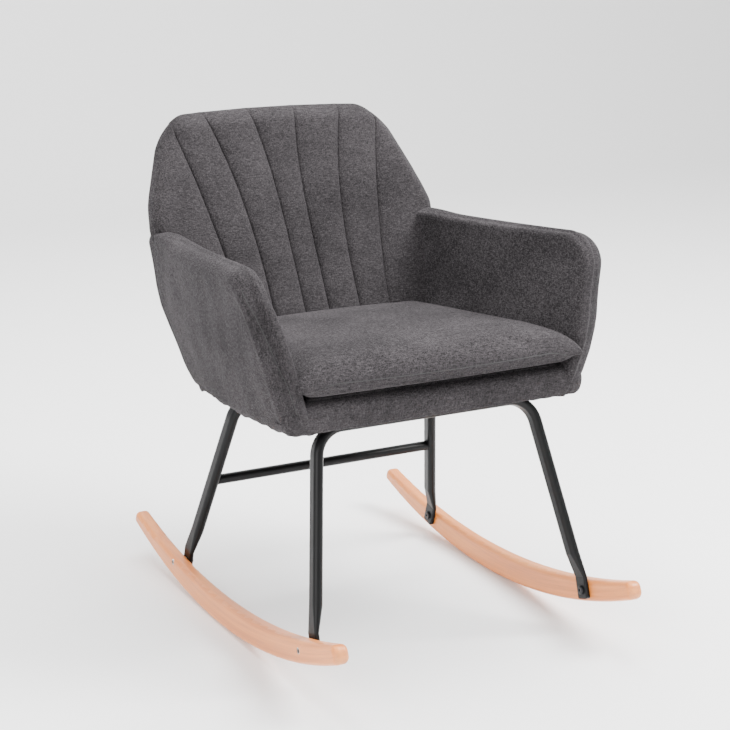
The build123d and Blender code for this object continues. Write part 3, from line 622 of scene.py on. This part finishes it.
def make_apron(fabric):
    """The padded border under the cushion: a rounded profile run across the chair."""
    half = 0.2505
    x = np.linspace(-half, half, 141)
    profile = [(0.045, 0.0005), (0.02, 0.0), (0.006, 0.0), (0.0015, 0.0012), (-0.001, 0.005)]
    profile += [(-0.003, 0.012), (-0.0045, 0.020), (-0.0045, 0.028), (-0.003, 0.0355)]
    profile += [(0.0005, 0.041), (0.006, 0.045), (0.013, 0.0472), (0.022, 0.0482), (0.045, 0.049)]
    profile = np.array(profile)
    share = np.linspace(0, len(profile) - 1, 66)
    steps = np.arange(len(profile))
    along = np.interp(share, steps, profile[:, 0])
    height = np.interp(share, steps, profile[:, 1])
    kernel = np.ones(7) / 7
    along = np.r_[along[:3], np.convolve(along, kernel, "valid"), along[-3:]]
    height = np.r_[height[:3], np.convolve(height, kernel, "valid"), height[-3:]]
    end = np.sqrt(np.clip(1 - (np.clip(np.abs(x) - (half - 0.020), 0, None) / 0.0202) ** 2, 0.01, 1))
    middle = 0.023
    grid_along = 0.022 + (along[None] - 0.022) * (0.35 + 0.65 * end[:, None])
    grid_height = middle + (height[None] - middle) * end[:, None]
    grid_height = grid_height + (ripple(x, 41, 0.0009)[:, None] * (1 - height[None] / 0.049))
    grid = seat_point(x[:, None], grid_along, grid_height)
    length = np.cumsum(np.r_[0, np.hypot(np.diff(along), np.diff(height))])
    coords = np.stack(np.broadcast_arrays(x[:, None], length[None]), -1)
    return make_piece("apron_upholstery", [(grid, coords)], fabric)


def make_deck(fabric):
    """The cloth-covered deck that the cushion rests on."""
    along = np.linspace(0.010, 0.360, 40)[None]
    share = np.linspace(-1, 1, 50)[:, None]
    half = 0.214 - 0.022 * along / 0.36
    x = share * half
    edge = np.minimum(half - np.abs(x), np.minimum(along - 0.008, 0.362 - along))
    height = 0.0515 - rounding(np.clip(edge, 0, None), 0.012) * 0.6
    grid = seat_point(x, along + 0 * x, height)
    low = seat_point(x, along + 0 * x, height * 0 + 0.030)
    coords = np.stack(np.broadcast_arrays(x, along), -1)
    patches = [(grid, coords), (low, coords)]
    for place in ((0, slice(None)), (-1, slice(None)), (slice(None), 0), (slice(None), -1)):
        patches.append(strip(grid[place], low[place], coords[place], 2))
    return make_piece("deck_upholstery", patches, fabric)


def cushion_shape():
    """The cushion's two sheets, which meet in a seam low on its sides, as grids in the seat's plane."""
    steps = np.linspace(-1, 1, 100)
    warp = np.sign(steps) * (1 - (1 - np.abs(steps)) ** 1.5)
    u, v = np.meshgrid(warp, warp, indexing="ij")
    radial = np.maximum(np.abs(u), np.abs(v))
    reach = (np.abs(u) ** 40 + np.abs(v) ** 40) ** (1 / 40)
    shrink = np.where(reach > 0, radial / np.maximum(reach, 1e-9), 1)
    su, sv = u * shrink, v * shrink
    front, rear = -0.0255, 0.386
    along = front + (rear - front) * (sv + 1) / 2
    half = np.interp(along, (front, 0.025, rear), (0.2465, 0.2350, 0.1900))
    x = su * half
    along = along - 0.008 * (1 - su ** 2) * ease(-sv, 0.0, 1)
    edge = np.minimum((1 - radial) * 0.205, 0.06)
    seam = 0.0745 - 0.004 * ease(sv, -0.6, 0.9) - 0.004 * (1 - su ** 2) * ease(-sv, 0.5, 1)
    seam = seam - 0.017 * ease(np.abs(su), 0.72, 1) * ease(-sv, 0.55, 1)
    fold = np.sqrt(np.clip(1 - (1 - edge / 0.06) ** 2, 0, 1))
    crown = 0.0065 * (1 - su ** 2) * (1 - 0.6 * sv ** 2)
    dip = 0.004 * ease(np.abs(su), 0.8, 1) + 0.005 * ease(-sv, 0.5, 1)
    top = seam + (0.1055 + 0.004 * ease(sv, -0.5, 0.8) + crown - dip - seam) * fold
    tuck = np.sqrt(np.clip(1 - (1 - np.minimum(edge / 0.022, 1)) ** 2, 0, 1))
    pinch = ease(np.abs(su), 0.80, 1) * ease(-sv, 0.6, 1)
    bottom = seam + (0.0535 + 0.003 * pinch - seam) * tuck
    return x, along, top, bottom


def make_cushion(fabric):
    """The loose seat cushion, blown up by cloth simulation from its sewn shape, then seamed."""
    x, along, top, bottom = cushion_shape()
    shrink = 0.985
    grids = [
        (seat_point(x * shrink, along, height), np.stack([x, along], -1))
        for height in (top - 0.0015, bottom + 0.001)
    ]
    piece = make_piece("seat_cushion", grids, fabric)
    inflate(piece, voxel=0.005, pressure=3.0, cap=0.006)
    return piece


def seat_height(points):
    """Each point's height over the seat's underside."""
    cosine, sine = math.cos(SEAT_TILT), math.sin(SEAT_TILT)
    return (points[:, 1] - SEAT_FRONT[0]) * sine + (points[:, 2] - SEAT_FRONT[1]) * cosine


def inflate(piece, voxel, pressure, cap):
    """Swells a sewn shape with air by cloth simulation, held by its seam, and keeps the result."""
    remesh = piece.modifiers.new("remesh", "REMESH")
    remesh.mode = "VOXEL"
    remesh.voxel_size = voxel
    keep_evaluated(piece)
    start = coordinates(piece)
    heights = seat_height(start)
    seam = piece.vertex_groups.new(name="seam")
    for index in np.nonzero(heights < 0.0560)[0]:
        seam.add([int(index)], 1.0, "REPLACE")
    cloth = piece.modifiers.new("cloth", "CLOTH")
    cloth.settings.quality = 6
    cloth.settings.use_pressure = True
    cloth.settings.uniform_pressure_force = pressure
    cloth.settings.effector_weights.gravity = 0
    cloth.settings.vertex_group_mass = "seam"
    cloth.settings.tension_stiffness = 12
    cloth.settings.compression_stiffness = 8
    cloth.settings.bending_stiffness = 0.6
    cloth.point_cache.frame_start = 1
    cloth.point_cache.frame_end = 20
    for step in range(1, 21):
        bpy.context.scene.frame_set(step)
    keep_evaluated(piece)
    bpy.context.scene.frame_set(1)
    moved = coordinates(piece) - start
    reach = np.linalg.norm(moved, axis=1, keepdims=True)
    moved = moved * np.minimum(1, cap / np.maximum(reach, 1e-9))
    piece.data.vertices.foreach_set("co", (start + moved).astype(np.float32).reshape(-1))
    smooth = piece.modifiers.new("subdivision", "SUBSURF")
    smooth.levels = smooth.render_levels = 1
    keep_evaluated(piece)
    piece.vertex_groups.clear()
    piece.data.shade_smooth()


def stitched_seam(name, piece, starts, direction, material, radius=0.0007):
    """A thin sewn line laid on a piece: a cord through the places that rays from the starts hit."""
    hits = []
    for start in starts:
        found, place, normal, _ = piece.ray_cast(Vector(start), Vector(direction(start)))
        if found:
            hits.append(np.array(place - normal * radius * 0.35))
    path = np.array(hits)
    kernel = np.ones(5) / 5
    middle = np.stack([np.convolve(path[:, axis], kernel, "valid") for axis in range(3)], -1)
    path = np.concatenate([path[:1], middle, path[-1:]])
    along = np.gradient(path, axis=0)
    along /= np.linalg.norm(along, axis=1, keepdims=True)
    side = np.cross(along, np.array([0.31, 0.17, 0.93]))
    side /= np.linalg.norm(side, axis=1, keepdims=True)
    other = np.cross(along, side)
    turn = np.linspace(0, 2 * np.pi, 7)[None, :, None]
    tube = path[:, None] + radius * (np.cos(turn) * side[:, None] + np.sin(turn) * other[:, None])
    return make_piece(name, [(tube, tube[..., :2])], material)


def coordinates(piece):
    points = np.empty(3 * len(piece.data.vertices), np.float32)
    piece.data.vertices.foreach_get("co", points)
    return points.reshape(-1, 3).astype(float)


def keep_evaluated(piece):
    """Applies every modifier of a piece."""
    graph = bpy.context.evaluated_depsgraph_get()
    mesh = bpy.data.meshes.new_from_object(piece.evaluated_get(graph))
    piece.modifiers.clear()
    old = piece.data
    piece.data = mesh
    bpy.data.meshes.remove(old)


def make_dust_cover(cloth):
    """The thin cloth tacked under the seat board, which sags a little between its edges."""
    share = np.linspace(-1, 1, 41)[:, None]
    along = np.linspace(0.012, 0.362, 41)[None]
    x = share * (0.205 - 0.021 * along / 0.362)
    sag = 0.0007 * np.cos(share * np.pi / 2) * np.sin(np.pi * (along - 0.012) / 0.350)
    grid = seat_point(x, along + 0 * x, BOARD_HEIGHT + 0.0004 + 0 * sag)
    grid[..., 2] -= sag
    coords = np.stack(np.broadcast_arrays(x, along), -1)
    return make_piece("dust_cover_cloth", [(grid, coords)], cloth)


# Set


def studio():
    floor_material = Nodes("studio_floor")
    floor_material.surface(Base_Color=(0.93, 0.93, 0.93, 1), Roughness=0.8)
    size = 9.0
    depth = 4.5
    bend = 1.2
    profile = [(-depth, 0.0), (depth - bend, 0.0)]
    profile += [
        (depth - bend + bend * math.sin(a), bend - bend * math.cos(a))
        for a in np.linspace(0.1, math.pi / 2, 12)
    ]
    profile.append((depth, 6.0))
    rows = np.array([[(x, y, z) for y, z in profile] for x in (-size, size)])
    coords = rows[..., :2]
    backdrop = make_piece("studio_backdrop", [(rows, coords)], floor_material.material)
    world = bpy.data.worlds.new("studio_world")
    bpy.context.scene.world = world
    world.use_nodes = True
    world.node_tree.nodes["Background"].inputs["Color"].default_value = (1, 1, 1, 1)
    world.node_tree.nodes["Background"].inputs["Strength"].default_value = 1.3
    add_light("key_light", (1.9, -1.2, 2.6), 1.5, 240)
    add_light("fill_light", (-2.6, -1.6, 1.5), 2.2, 80)
    add_light("top_light", (0.2, 0.8, 3.0), 2.4, 175)


def add_light(name, place, size, power):
    light = bpy.data.lights.new(name, "AREA")
    light.size = size
    light.energy = power
    holder = bpy.data.objects.new(name, light)
    holder.location = place
    aim = Vector((0, 0, 0.4)) - Vector(place)
    holder.rotation_euler = aim.to_track_quat("-Z", "Y").to_euler()
    bpy.context.scene.collection.objects.link(holder)


def add_camera():
    azimuth, pitch = math.radians(-27.99), math.radians(15.13)
    camera = bpy.data.cameras.new("studio_camera")
    camera.lens = 89.1
    camera.sensor_width = 36
    camera.clip_start = 0.05
    holder = bpy.data.objects.new("studio_camera", camera)
    holder.location = (-1.2704, -2.3784, 1.1162)
    holder.rotation_euler = (math.pi / 2 - pitch, 0, azimuth)
    bpy.context.scene.collection.objects.link(holder)
    bpy.context.scene.camera = holder


# Assembly

add_camera()
studio()

FABRIC = woven_fabric("grey_linen_weave", (0.0075, 0.0068, 0.0074), (0.062, 0.0565, 0.0595))
THREAD = thread_material()
LINING = woven_fabric("black_lining", (0.006, 0.006, 0.007), (0.022, 0.022, 0.024), 0.0018)
BEECH = beech()
PLY = board_wood("plywood_board", (0.62, 0.44, 0.26), (0.42, 0.27, 0.14))
PINE = board_wood("pine_rail", (0.72, 0.52, 0.29), (0.55, 0.36, 0.18))
STEEL = powder_coat("satin_black_steel", (0.0025, 0.0025, 0.0028))
BLACK_BOLT = powder_coat("black_oxide", (0.016, 0.016, 0.017), 0.4)
ZINC = plated_steel("zinc_plate", (0.62, 0.62, 0.60), 0.3)
FOAM = foam_material()

SLOT_MATERIALS = {
    "upholstery_fabric": FABRIC,
    "foam": FOAM,
    "dust_cloth": LINING,
    "beech": BEECH,
    "plywood": PLY,
    "pine": PINE,
    "black_steel": STEEL,
    "black_hardware": BLACK_BOLT,
    "zinc_hardware": ZINC,
}
for part in frame["record"]["subparts"]:
    node = frame["nodes"][part["node"]]
    node.data.materials.clear()
    node.data.materials.append(SLOT_MATERIALS[part["material_slot"]])


def upholster(piece, body, fill, *nodes):
    """Puts a padded piece on its body in place of its plain solids."""
    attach(piece, body)
    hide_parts(*nodes)


upholster(make_back(FABRIC), "chair", 0.8, "back_pad")
ARMS = [
    (1, make_arm(1, FABRIC, "arm_upholstery_left"), "arm_pad_left", "arm_topstitch_left"),
    (-1, make_arm(-1, FABRIC, "arm_upholstery_right"), "arm_pad_right", "arm_topstitch_right"),
]
for _, piece, pad, _ in ARMS:
    upholster(piece, "chair", 0.8, pad)
upholster(make_apron(FABRIC), "chair", 0.8, "front_apron")
upholster(make_deck(FABRIC), "chair", 0.9, "deck_pad")
def topstitch(name, piece, body, starts, direction):
    """A sewn line that rides on a body with the piece it is laid on."""
    bpy.context.view_layer.update()
    seam = stitched_seam(name, piece, starts, direction, THREAD)
    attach(seam, body)


def arm_topstitch(side, piece, name):
    heights = np.linspace(0.372, 0.574, 90)
    x = np.interp(heights, STITCH_HEIGHTS, STITCH_X) * side
    y = np.interp(heights, STITCH_HEIGHTS, STITCH_Y)
    starts = np.stack([x + side * 0.07, y - 0.07, heights], -1)
    topstitch(name, piece, "chair", starts, lambda start: (-side * 0.71, 0.71, 0))


def cushion_topstitch(piece):
    x = np.linspace(-0.236, 0.236, 160)
    drop = 0.004 * (1 - (x / 0.24) ** 2) + 0.017 * ease(np.abs(x), 0.173, 0.24)
    starts = seat_point(x, -0.15 + 0 * x, 0.0750 - drop)
    cosine, sine = math.cos(SEAT_TILT), math.sin(SEAT_TILT)
    topstitch("cushion_topstitch", piece, "seat_cushion", starts, lambda start: (0, cosine, -sine))


CUSHION = make_cushion(FABRIC)
upholster(CUSHION, "seat_cushion", 0.7, "seat_cushion_cover", "seat_cushion_foam")

for side, piece, _, stitch_name in ARMS:
    arm_topstitch(side, piece, stitch_name)
cushion_topstitch(CUSHION)

outer = make_back_outer(FABRIC)
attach(outer, "chair")
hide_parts("back_outer_cover")

lining = make_dust_cover(LINING)
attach(lining, "chair")
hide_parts("dust_cover")
